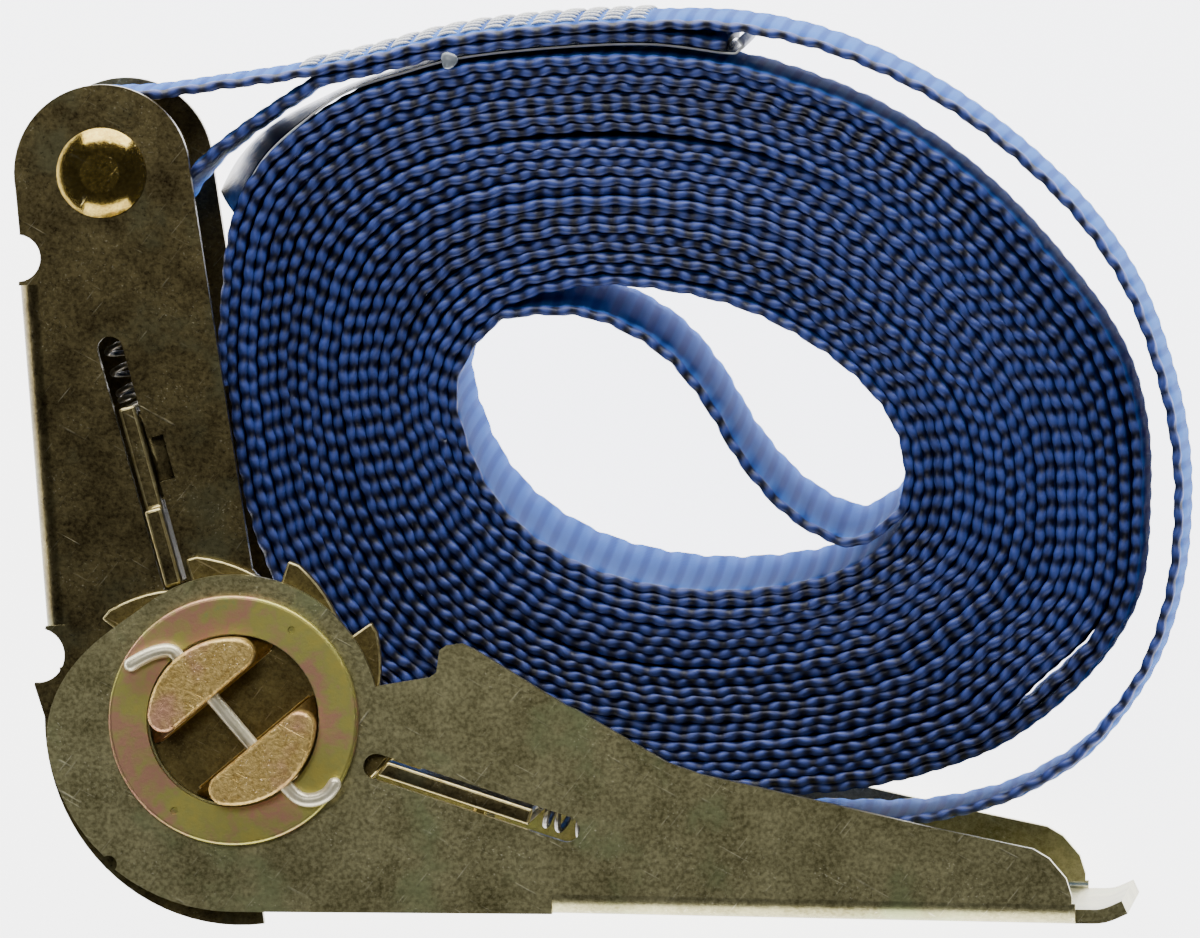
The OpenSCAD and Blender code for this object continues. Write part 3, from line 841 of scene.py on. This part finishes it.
@dataclass
class Strap:
    """The whole strap: a coil folded at its middle, the outer turn and the sewn eye.

    Args:
        weave: The webbing that it is made of.
        thickness: Room that one layer takes.
        sleeve_d: Diameter of the sleeve that the eye goes round.
        gap: Room between the sleeve and the eye.
        layers: Layers between the coil's hole and its outline.
        first_fixed: Direction where the fixed arm leaves the hole, in degrees.
        first_free: Direction where the free arm leaves it.
        fixed_sweep: Angle that the fixed arm turns through.
        free_sweep: Angle that the free arm turns through.
        leaving: Angle over which the fixed arm leaves the coil for the outer turn.
        leaving_drift: How far it moves out there, in shares of the way.
        core_free: Length of the free arm that is built with the core.
        core_fixed: Length of the fixed arm that is built with the core.
        tail: First and last station of the outer turn that the tail lies under.
        tail_gap: Room between the tail and the outer turn.
        tail_fall: How far the tail's end hangs away from the outer turn.
        outline: Points round the coil.
        hole: Points round its hole.
        cross_over: Points of the piece that crosses the hole.
        outer_turn: Points of the outer turn, from the sleeve on.
        slack: Loose spots in the coil.
    """

    weave: Webbing = field(default_factory=Webbing)
    thickness: float = 1.03
    sleeve_d: float = 14.4
    gap: float = 0.15
    layers: float = 24
    first_fixed: float = 139
    first_free: float = 335
    fixed_sweep: float = 4099
    free_sweep: float = 4158
    leaving: float = 62
    leaving_drift: float = 0.09
    core_free: float = 270
    core_fixed: float = 150
    tail: tuple[int, int] = (21, 50)
    tail_gap: float = 0.12
    tail_fall: float = 0.9
    outline: tuple = (
        (-1.8, 34), (-1.9, 44), (-0.7, 53.2), (3.2, 59.7), (11.4, 65.4), (22, 68.6), (32, 69.8), (42, 70.2),
        (52, 69.3), (60, 67.1), (67, 64.4), (73.3, 60.9), (78.6, 57), (83.4, 52.4), (88, 47.1), (91.8, 42),
        (94.6, 36.6), (96.2, 30), (96.5, 23), (95.9, 13.6), (93.4, 7.8), (89.2, 2.6), (84.4, -1.6),
        (79, -4.8), (70, -7.8), (60, -9.3), (44, -9.6), (26, -6.3), (10, 3.5), (1.4, 18),
    )
    hole: tuple = (
        (23.4, 32.5), (24.6, 37.6), (29, 42), (36, 44.2), (43, 44.3), (53.5, 42.1), (63, 37.2), (68.7, 31.1),
        (70.1, 24.4), (67.5, 19), (61, 15.5), (50, 13.9), (40, 15.2), (32, 18.9), (26.5, 24.5),
    )
    cross_over: tuple = (
        (35.2, 42.5), (40.3, 41.1), (45.4, 37.9), (49.4, 33.2), (53.3, 26.8), (57.7, 21.8), (62.3, 18.9),
        (65.8, 18.4),
    )
    outer_turn: tuple = (
        (-1, 66.8), (5, 67.6), (12.5, 69), (22, 71.2), (32, 72.4), (41, 72.9), (49.5, 73), (56, 72.2),
        (63, 70.4), (70.5, 67.3), (77, 63.5), (83.5, 58.4), (89.5, 52.2), (94.2, 45), (97.2, 37),
        (98.9, 29.5), (99.3, 22), (98.4, 13.4), (95.6, 5.2), (90, -2.6), (84.6, -6.5), (79, -9),
        (71, -10.8), (62, -11.2), (52, -11.2),
    )
    slack: tuple = (
        Slack(1.5, 80, 60, 0.5), Slack(2.6, 100, 70, 0.45), Slack(3.5, 262, 60, 0.4),
        Slack(8.3, 250, 45, 0.35), Slack(15.5, 95, 48, 0.7), Slack(21.4, 15, 48, 0.9),
        Slack(19.6, 22, 34, 0.5), Slack(20.5, -32, 13, 0.65), Slack(21.6, -34, 9, 0.4),
        Slack(12.4, 200, 50, 0.4), Slack(17.5, 300, 40, 0.4), Slack(6.4, 20, 40, 0.3),
    )

    def __post_init__(self) -> None:
        """Works out the line of the outer turn, which the tail and the label follow."""
        self.eye_r = self.sleeve_d / 2 + self.gap + self.thickness / 2
        top = [AXLE + (0, self.eye_r), AXLE + (5, 8.1)]
        self.wrap = curve_through([*top, *self.outer_turn], 6)
        self.wrap_left = left_of(self.wrap)

    def below(self, first: int, last: int, depth: float) -> np.ndarray:
        """A stretch of the outer turn, moved in by a depth, and further where the tail ends."""
        i = np.arange(first, last + 1)
        fall = self.tail_fall * smooth_step(i, self.tail[1] - 8, self.tail[1])
        return self.wrap[i] - (depth + fall)[:, None] * self.wrap_left[i]

    def _reach(self, loop: tuple, angle: np.ndarray) -> np.ndarray:
        """Distance from the centre to a closed curve in each direction, by interpolation over its angle."""
        points = curve_through(loop, 24, closed=True) - COIL_CENTRE
        around = np.degrees(np.arctan2(points[:, 1], points[:, 0])) % 360
        order = np.argsort(around)
        return np.interp(angle % 360, around[order], np.linalg.norm(points, axis=1)[order], period=360)

    def arm(self, first: float, angle: np.ndarray, drift: np.ndarray | float = 0) -> np.ndarray:
        """One arm of the coil, which moves out by two layers a turn.

        Its layer is l = (angle - first) / 180, and its place is (l + 1/2 + slack inside it) / (layers + all
        slack) of the way from the hole to the outline.

        Args:
            first: Direction where the arm starts at the hole.
            angle: Directions in degrees, unwrapped.
            drift: A further move outwards, in shares of the way.

        Returns:
            The arm's points.
        """
        layer = (angle - first) / 180
        inside, total = np.zeros_like(angle), np.zeros_like(angle)
        for spot in self.slack:
            width = spot.window(angle)
            inside += width * smooth_step(layer, spot.layer - 0.5, spot.layer + 0.5)
            total += width
        sway = 0.03 * np.sin(np.radians(angle) * 3.37 + 2.1 * layer)
        share = (layer + 0.5 + inside + sway) / (self.layers + total) + drift
        low, high = self._reach(self.hole, angle), self._reach(self.outline, angle)
        return COIL_CENTRE + polar(low + (high - low) * share, angle)

    def eye(self) -> np.ndarray:
        """From the top of the eye round the sleeve, up again, and on as the tail under the outer turn."""
        round_sleeve = AXLE + polar(self.eye_r, np.linspace(91, 318, 31))
        tail = self.below(*self.tail, self.thickness + self.tail_gap)
        rise = bridge([*round_sleeve[-2:], AXLE + (11.2, 1.6), tail[0], tail[4]], 8)
        return np.vstack([round_sleeve[:-1], rise[:-1], tail])

    def line(self) -> tuple[Line, list[float]]:
        """The strap's middle line from its free end to its sewn end.

        Returns:
            The line, and the distances where its pieces meet.
        """
        free_end = self.first_free + self.free_sweep
        free = self.arm(self.first_free, np.arange(free_end, self.first_free + 7, -1.5))
        fixed_end = self.first_fixed + self.fixed_sweep
        angle = np.arange(self.first_fixed + 6, fixed_end, 1.5)
        drift = self.leaving_drift * smooth_step(angle, fixed_end - self.leaving, fixed_end)
        fixed = self.arm(self.first_fixed, angle, drift)
        crossing = bridge([free[-6], free[-1], *self.cross_over[::-1], fixed[0], fixed[5]], 16)
        turn = self.wrap[::-1][3:]
        joined = bridge([fixed[-8], fixed[-1], turn[0], turn[7]], 24)
        parts = [free, crossing[1:], fixed[1:], joined[1:], turn[1:], self.eye()[1:]]
        whole = np.vstack(parts)
        ends = run_of(whole)[np.cumsum([len(part) for part in parts]) - 1]
        return Line(whole), [ends[0] - self.core_free, ends[1] + self.core_fixed, ends[3]]

    def build(self) -> None:
        line, (core_from, core_to, outer_from) = self.line()
        stretches = (
            ("webbing_free_arm", 0, core_from, 0.4),
            ("webbing_core", core_from, core_to, 0.25),
            ("webbing_fixed_arm", core_to, outer_from, 0.4),
            ("webbing_outer_turn", outer_from, line.length, 0.25),
        )
        for name, start, end, step in stretches:
            self.weave.piece(name, line, start, end, step)
            self.weave.width * MM
            (end - start) * MM
            "axle_sleeve" if name == "webbing_outer_turn" else "handle_channel"
            LOG.info("%s is %.0f mm of strap", name, end - start)
        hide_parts("strap_eye", "strap_wrap")
        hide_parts("strap_coil")


@dataclass
class Sewing:
    """Rows of stitches that close the eye, on top of the outer turn.

    Args:
        strap: The strap that they lie on.
        span: First and last station of the outer turn that are sewn.
        rows: Number of rows across the strap.
        row_gap: Distance from row to row.
        pitch: Distance from stitch to stitch.
        length: Length of one stitch.
        lift: Room between the strap's top and a stitch's ends.
        height: How high a stitch stands in its middle.
        slant: How far a stitch's ends lie apart across the strap.
        radius: Radius of the thread.
        sides: Points round the thread.
    """

    strap: Strap
    span: tuple[int, int] = (19, 46)
    rows: int = 7
    row_gap: float = 3.375
    pitch: float = 2.5
    length: float = 2.1
    lift: float = 0.02
    height: float = 0.16
    slant: float = 0.28
    radius: float = 0.21
    sides: int = 6

    def build(self) -> None:
        """Builds every stitch as a bowed tube: its rise is top + h sin(pi t), with t from end to end."""
        path = Line(self.strap.wrap[slice(*self.span)])
        count = int(path.length / self.pitch)
        t = np.linspace(0, 1, 7)
        start = (np.arange(count) + 0.5) * self.pitch
        place, left = path.at((start[:, None] + (t - 0.5) * self.length).ravel())
        top = self.strap.thickness / 2 + self.lift
        rise = top + self.height * np.sin(math.pi * np.tile(t, count))
        radius = rounded_radius(t * self.length, self.radius)
        template = tube_faces(len(t), self.sides)
        points, faces = [], []
        for row in range(self.rows):
            level = (row - (self.rows - 1) / 2) * self.row_gap
            flat = place + (rise + self.strap.weave.crown(level))[:, None] * left
            for k, part in enumerate(np.split(flat, count)):
                slant = level + self.slant * (-1) ** (k + row) * (t - 0.5)
                base = len(points) * len(t) * self.sides
                tube = tube_points(np.column_stack([part, slant]), radius, self.sides, (0, 0, 1))
                points.append(lean(tube))
                faces += [[base + i for i in face] for face in template]
        made = add_mesh("stitches", np.vstack(points), faces, [Finish.THREAD])
        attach(made, "frame")
        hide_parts("stitching")


@dataclass
class Label:
    """A blank label: a thin film sewn in under the tail, with one end free and one turned up.

    Args:
        strap: The strap that holds it.
        width: Its width.
        thickness: Its thickness.
        gap: Room between it and the tail, with half its thickness.
        tail: First and last station of the outer turn that it lies under.
        flap: Points of its free end.
        steps: Points across it.
        white_end: Number of stations at the turned-up end that are white all round.
    """

    strap: Strap
    width: float = 23.4
    thickness: float = 0.24
    gap: float = 0.34
    tail: tuple[int, int] = (30, 50)
    flap: tuple = ((-1.5, 53.6), (0.2, 57.1), (2.7, 60.3), (6.7, 63.3), (11.1, 65.95), (17.2, 67.9))
    steps: int = 13
    white_end: int = 34

    def line(self) -> np.ndarray:
        """Its middle line, from the free end, along the tail, to the end that is turned up."""
        under = self.strap.below(*self.tail, 1.5 * self.strap.thickness + self.gap)
        curl = under[-1] + [(1.3, 0.2), (1.75, 0.8), (1.2, 1.5)]
        return curve_through([*self.flap, *under[[1, 8, 14, -1]], *curl], 14)

    def build(self) -> None:
        """Builds the film as a thin ribbon with a dark outer face and a white inner face.

        Towards its free end, with f rising to 1, it moves out by f (0.16 cos(pi z / w) + 0.7 - 3.8 z / w).
        """
        line = self.line()
        left = left_of(line)[:, None]
        z = np.linspace(-self.width / 2, self.width / 2, self.steps)
        run = run_of(line)[:, None]
        free = smooth_step(run, 22, 0)
        sag = (free * (0.16 * np.cos(math.pi * z / self.width) + 0.7 - 3.8 * z / self.width))[:, :, None]
        half = self.thickness / 2
        outer, inner = (line[:, None] + (sag + side) * left for side in (half, -half))
        level = np.broadcast_to(z, sag.shape[:2])[:, :, None]
        ring = np.concatenate([
            np.concatenate([outer, level], 2), np.concatenate([inner, level], 2)[:, ::-1]
        ], 1)
        sides = 2 * self.steps
        faces = tube_faces(len(line), sides)
        slots = np.arange(len(faces)) % sides >= self.steps - 1
        slots[-self.white_end * sides:] = True
        finishes = [Finish.LABEL, Finish.LABEL_BACK]
        made = add_mesh("label_sheet", lean(ring.reshape(-1, 3)), faces, finishes, slots)
        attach(made, "frame")
        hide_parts("label")
        flat = (self.width * MM, run[-1, 0] * MM)
        self._tack()

    def _tack(self) -> None:
        """A flat drop: radius r sqrt(1 - h^2) at height h, with a slow wobble round it."""
        low, high = box_of("label_tack")
        middle, half = (low + high) / 2, (high - low) / 2
        height = np.sin(np.linspace(-1.5, 1.5, 13))[:, None]
        angle = np.arange(24) * math.tau / 24
        r = np.sqrt(1 - height**2) * (1 + 0.1 * np.sin(3 * angle + 1)) * half[0]
        points = np.stack(np.broadcast_arrays(
            middle[0] + r * np.cos(angle), middle[1] + r * np.sin(angle), middle[2] + half[2] * height
        ), -1)
        faces = tube_faces(len(height), len(angle))
        made = add_mesh("tack_drop", lean(points.reshape(-1, 3)), faces, [Finish.TACK])
        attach(made, "frame")
        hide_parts("label_tack")


# ---- Steel ----


@dataclass(frozen=True)
class SheetPart:
    """A steel piece that keeps its CAD shape and gets broken edges, in a lighter finish that is partly edge
    wear and partly a painted highlight.

    Args:
        node: The CAD node.
        name: The new piece's name.
        finish: The finish of its faces.
        slot: The record's material slot; not used.
        width: Width of the broken edge.
    """

    node: str
    name: str
    finish: Finish
    slot: str
    width: float = 0.22

    def build(self) -> None:
        """Merges a copy of the node's mesh, joins its flat faces and bevels its sharp edges."""
        shape = bmesh.new()
        shape.from_mesh(frame["nodes"][self.node].data)
        bmesh.ops.remove_doubles(shape, verts=shape.verts, dist=2e-6)
        bmesh.ops.dissolve_degenerate(shape, edges=shape.edges, dist=1e-6)
        bmesh.ops.dissolve_limit(
            shape, angle_limit=math.radians(0.5), verts=shape.verts, edges=shape.edges, delimit={"NORMAL"}
        )
        for face in shape.faces:
            face.smooth = True
            face.material_index = 0
        mesh = bpy.data.meshes.new(self.name)
        shape.to_mesh(mesh)
        shape.free()
        mesh.materials.clear()
        mesh.materials.append(self.finish.material())
        mesh.materials.append(Finish.PLATE_EDGE_WEAR_AND_HIGHLIGHT.material())
        made = bpy.data.objects.new(self.name, mesh)
        bpy.context.scene.collection.objects.link(made)
        bevel = made.modifiers.new("broken_edges", "BEVEL")
        bevel.width = self.width * MM
        bevel.segments = 2
        bevel.limit_method = "ANGLE"
        bevel.angle_limit = math.radians(35)
        # The broken edges take the lighter edge finish, partly wear and partly a painted highlight.
        bevel.material = 1
        made.modifiers.new("even_shading", "WEIGHTED_NORMAL").keep_sharp = False
        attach(made, body_of(self.node))
        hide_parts(self.node)
        LOG.info("%s: %d faces before its edges are broken", self.name, len(mesh.polygons))


@dataclass(frozen=True)
class PawlSpring:
    """A compression spring between a pawl and its seat.

    Args:
        node: The CAD node that it stands for.
        name: The new piece's name.
        joint: The pawl's joint; not used.
        foot: Where its slot starts.
        angle: Direction of the slot.
        near: Distance from the foot to the pawl's back.
        far: Distance from the foot to the seat.
        travel: The pawl's travel; not used.
        outer_d: Outer diameter.
        wire_d: Wire diameter.
        turns: Number of turns.
        sides: Points round the wire.
    """

    node: str
    name: str
    joint: str
    foot: tuple[float, float]
    angle: float
    near: float
    far: float
    travel: float
    outer_d: float = 4.4
    wire_d: float = 0.7
    turns: int = 6
    sides: int = 10

    def build(self) -> None:
        """Sweeps a wire along a helix, r cos and r sin of 2 pi n t, whose first and last turns close up."""
        t = np.linspace(0, 1, 30 * self.turns + 1)
        length = self.far - self.near
        gap = 0.2 + self.wire_d / 2
        free = length - 2 * gap
        closed = self.wire_d / free
        x = np.interp(t, [0, 1 / self.turns, 1 - 1 / self.turns, 1], [0, closed, 1 - closed, 1])
        x = self.near + gap + free * x
        ring = polar((self.outer_d - self.wire_d) / 2, 360 * self.turns * t)
        along, side = polar(1.0, self.angle), polar(1.0, self.angle + 90)
        line = np.column_stack([self.foot + x[:, None] * along + ring[:, :1] * side, ring[:, 1]])
        radius = rounded_radius(run_of(line), self.wire_d / 2)
        points = tube_points(line, radius, self.sides, (*along, 0))
        made = add_mesh(self.name, points, tube_faces(len(line), self.sides), [Finish.SPRING])
        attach(made, body_of(self.node))
        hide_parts(self.node)
        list(along)
        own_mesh(made)


@dataclass(frozen=True)
class PawlBead:
    """The stiffening bead pressed into the middle of the frame pawl, between the cheeks.

    Args:
        near: Distance from the slot's foot to the bead's near end.
        far: Distance to its far end.
        height: How far it stands out from the middle of the pawl.
        plate: Distance from the middle of the pawl to its surface.
        sink: How far from the middle its base lies.
        half_width: Half its width along Z.
        flank: Length of its rounding at both ends.
    """

    near: float = 8.5
    far: float = 18.6
    height: float = 3.7
    plate: float = 0.6
    sink: float = 0.4
    half_width: float = 12.9
    flank: float = 0.8

    def build(self) -> None:
        """Lofts a rounded hump along Z: h (1 - u^4), with h drawn down over a quarter round at both ends."""
        u = np.linspace(-1, 1, 25)
        hump = (self.height - self.plate) * (1 - u**4)
        along = (self.near + self.far) / 2 + u * (self.far - self.near) / 2
        t = np.linspace(0.05, 1, 7)
        quarter = np.sqrt(1 - (1 - t) ** 2)
        share = np.concatenate([quarter, quarter[::-1]])[:, None]
        level = np.concatenate([-self.half_width + self.flank * t, self.half_width - self.flank * t[::-1]])
        out = np.concatenate([self.plate + hump * share, np.full((len(level), len(u)), self.sink)], 1)
        place = np.broadcast_to(np.concatenate([along, along[::-1]]), out.shape)[..., None]
        flat = PAWL_FOOT + place * polar(1.0, PAWL_ANGLE) + out[..., None] * polar(1.0, PAWL_ANGLE - 90)
        points = np.concatenate([flat, np.broadcast_to(level[:, None, None], (*out.shape, 1))], 2)
        faces = tube_faces(len(level), 2 * len(u))
        made = add_mesh("frame_pawl_bead", points.reshape(-1, 3), faces, [Finish.PLATE])
        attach(made, "frame_pawl")


@dataclass(frozen=True)
class CotterPin:
    """A cotter pin through the spindle, with its ends bent over on the ring.

    Args:
        node: The CAD node that it stands for.
        wire_d: Its diameter.
        out: Distance from the spindle's middle to where it bends.
        sides: Points round the wire.
    """

    node: str
    wire_d: float = 1.5
    out: float = 9.8
    sides: int = 16

    def build(self) -> None:
        """Sweeps a round wire with rounded ends along the pin's route."""
        low, high = box_of(self.node)
        level = (low[2] + high[2]) / 2
        out = self.out
        route = [
            (-4.7, out + 2), (-2.8, out + 2.5), (-1.2, out + 2), (-0.2, out + 0.8), (0, out - 1.4),
            (0, out - 5), (0, 0), (0, 5 - out), (0, 1.4 - out), (0.2, -out), (1.5, -out - 0.9),
            (3.2, -out - 1.4), (5.1, -out - 1.7),
        ]
        line = curve_through(route, 8)
        flat = line @ np.array([polar(1.0, SLOT_ANGLE + 180), polar(1.0, SLOT_ANGLE + 270)])
        path = np.column_stack([flat, np.full(len(flat), level)])
        radius = rounded_radius(run_of(path), self.wire_d / 2)
        points = tube_points(path, radius, self.sides, (0, 0, 1))
        made = add_mesh(f"{self.node}_wire", points, tube_faces(len(path), self.sides), [Finish.WIRE])
        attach(made, "spindle")
        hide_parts(self.node)


@dataclass(frozen=True)
class SpindleBar:
    """One of the two half-round bars of the spindle, drawn to a rounded section and sheared off.

    Args:
        node: The CAD node that it stands for.
        name: The new piece's name.
        radius: Radius of the round side.
        slot: Width of the slot between the bars.
        corner: Radius of the section's corners at its ends.
        body_corner: Radius of its corners between the rings.
        swaged_from: Level at which the ends start.
        swage: Length over which the section changes there.
        chamfer: How far the ends draw in, and over which length.
    """

    node: str
    name: str
    radius: float = 8.85
    slot: float = 6.6
    corner: float = 1.7
    body_corner: float = 0.25
    swaged_from: float = 18.2
    swage: float = 0.4
    chamfer: float = 0.45

    def section(self, corner: float) -> tuple[np.ndarray, np.ndarray]:
        """A flat side and a round side joined by arcs of one radius.

        Args:
            corner: That radius.

        Returns:
            The section's points, with the slot along X, and its normals.
        """
        height = self.slot / 2 + corner
        reach = math.sqrt((self.radius - corner) ** 2 - height**2)
        edge = math.degrees(math.atan2(height, reach))
        round_side = np.linspace(edge, 180 - edge, 25)
        right, left = np.linspace(-90, edge, 9)[:-1], np.linspace(180 - edge, 270, 9)[1:]
        outline = np.concatenate([
            (reach, height) + polar(corner, right),
            polar(self.radius, round_side),
            (-reach, height) + polar(corner, left),
        ])
        return outline, polar(1.0, np.concatenate([right, round_side, left]))

    def build(self) -> None:
        """Lofts the section along Z. The ends draw in along its normals: d = c (1 - sqrt(t))."""
        low, high = box_of(self.node)
        side = np.sign((low + high)[:2] @ polar(1.0, SLOT_ANGLE + 90))
        t = np.linspace(0, 1, 6)
        inset = self.chamfer * (1 - np.sqrt(t))
        inset = np.concatenate([inset, np.zeros(4), inset[::-1]])[:, None, None]
        shoulder = np.array([self.swaged_from - self.swage, self.swaged_from])
        level = np.concatenate([
            low[2] + self.chamfer * t, -shoulder[::-1], shoulder, high[2] - self.chamfer * t[::-1]
        ])[:, None, None]
        end, end_normal = self.section(self.corner)
        body, body_normal = self.section(self.body_corner)
        at_end = np.abs(level) >= self.swaged_from
        rings = np.where(at_end, end, body) - inset * np.where(at_end, end_normal, body_normal)
        flat = rings @ np.array([polar(1.0, SLOT_ANGLE), polar(side, SLOT_ANGLE + 90)])
        points = np.concatenate([flat, np.broadcast_to(level, (*flat.shape[:2], 1))], 2)
        made = add_mesh(self.name, points.reshape(-1, 3), tube_faces(len(level), len(end)), [Finish.SPINDLE])
        made.modifiers.new("even_shading", "WEIGHTED_NORMAL").keep_sharp = False
        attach(made, "spindle")
        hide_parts(self.node)


class Hardware:
    """All the buckle's steel."""

    SHEETS = (
        SheetPart("frame_channel", "frame_steel", Finish.PLATE, "zinc_dark"),
        SheetPart("handle_channel", "handle_steel", Finish.HANDLE, "zinc_dark"),
        SheetPart("frame_pawl", "frame_pawl_steel", Finish.PLATE, "zinc_bright", 0.32),
        SheetPart("handle_pawl", "handle_pawl_steel", Finish.PLATE, "zinc_bright", 0.32),
        SheetPart("ratchet_wheel_upper", "wheel_upper_steel", Finish.WHEEL, "wheel_steel"),
        SheetPart("ratchet_wheel_lower", "wheel_lower_steel", Finish.WHEEL, "wheel_steel"),
    )
    SPRINGS = (
        PawlSpring(
            "frame_pawl_spring", "frame_spring_coil", "frame_pawl_slide", PAWL_FOOT, PAWL_ANGLE,
            near=19.2, far=30.9, travel=6.75,
        ),
        PawlSpring(
            "handle_pawl_spring", "handle_spring_coil", "handle_pawl_slide", (0, 0), -18,
            near=33, far=44.9, travel=4.5,
        ),
    )

    def build(self) -> None:
        """Builds the steel pieces and dresses the turned ones."""
        bars = [SpindleBar(f"spindle_half_{half}", f"spindle_bar_{half}") for half in "ab"]
        pins = [CotterPin(f"cotter_pin_{side}") for side in ("upper", "lower")]
        for part in (*self.SHEETS, *self.SPRINGS, PawlBead(), *bars, *pins):
            part.build()
        for node in ("retaining_ring_upper", "retaining_ring_lower"):
            dress(node, Finish.RING)
        for node in ("axle_rivet", "axle_sleeve"):
            dress(node, Finish.BRIGHT)


# ---- Studio ----


@dataclass(frozen=True)
class SoftBox:
    """A soft rectangular light.

    Args:
        name: Its name.
        place: Where it stands, in mm.
        size: Its width and height, in metres.
        power: Its power in watts.
    """

    name: str
    place: tuple[float, float, float]
    size: tuple[float, float]
    power: float

    def build(self, target: Vector) -> None:
        """Adds the light, turned to face the target."""
        data = bpy.data.lights.new(self.name, "AREA")
        data.shape = "RECTANGLE"
        data.size, data.size_y = self.size
        data.energy = self.power
        lamp = bpy.data.objects.new(self.name, data)
        bpy.context.scene.collection.objects.link(lamp)
        lamp.location = Vector(self.place) * MM
        lamp.rotation_mode = "QUATERNION"
        lamp.rotation_quaternion = (target - lamp.location).to_track_quat("-Z", "Y")


@dataclass(frozen=True)
class Studio:
    """Camera, lights and floor.

    Args:
        camera_place: Where the camera stands, in mm.
        target: The point that it and the lights face, in mm.
        lens: Its focal length.
        floor_size: Width of the floor, in metres.
        floor_gap: Room between the part and the floor, in mm.
        air: Colour of the light from all round.
        air_strength: Its strength.
        lights: The soft boxes.
    """

    camera_place: tuple[float, float, float] = (170, 121, 2019)
    target: tuple[float, float, float] = (38.7, 26.6, 19)
    lens: float = 572
    floor_size: float = 4
    floor_gap: float = 0.2
    air: Colour = tint("E6EAF2")
    air_strength: float = 0.06
    lights: tuple[SoftBox, ...] = (
        SoftBox("key", (50, 650, 170), (0.9, 0.3), 7.5),
        SoftBox("front", (60, -600, 170), (0.9, 0.3), 4),
        SoftBox("overhead", (-80, 330, 900), (0.4, 0.25), 1.6),
    )

    def build(self) -> None:
        """Makes the camera first, then the floor, the lights and the air."""
        self._camera()
        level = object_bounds()[0].z - self.floor_gap * MM
        bpy.ops.mesh.primitive_plane_add(size=self.floor_size, location=(0, 0, level))
        plane = bpy.context.object
        plane.name = "floor"
        plane.data.materials.append(Finish.FLOOR.material())
        plane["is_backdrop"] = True
        for light in self.lights:
            light.build(Vector(self.target) * MM)
        world = bpy.data.worlds.new("studio_air")
        world.use_nodes = True
        air = world.node_tree.nodes["Background"]
        air.inputs["Color"].default_value = self.air
        air.inputs["Strength"].default_value = self.air_strength
        bpy.context.scene.world = world

    def _camera(self) -> None:
        """Looks down on the part from high above, with Y upwards in the picture."""
        data = bpy.data.cameras.new("camera")
        data.lens = self.lens
        data.clip_start, data.clip_end = 0.01, 20
        camera = bpy.data.objects.new("camera", data)
        bpy.context.scene.collection.objects.link(camera)
        place, target = Vector(self.camera_place) * MM, Vector(self.target) * MM
        camera.location = place
        back = (place - target).normalized()
        right = Vector((0, 1, 0)).cross(back).normalized()
        up = back.cross(right)
        camera.rotation_mode = "QUATERNION"
        camera.rotation_quaternion = Matrix((right, up, back)).transposed().to_quaternion()
        bpy.context.scene.camera = camera


def main() -> None:
    """Builds the studio, the strap, the sewing, the label and the steel."""
    logging.basicConfig(level=logging.INFO, format="%(message)s")
    Studio().build()
    strap = Strap()
    strap.build()
    Sewing(strap).build()
    Label(strap).build()
    Hardware().build()


if __name__ == "__main__":
    main()
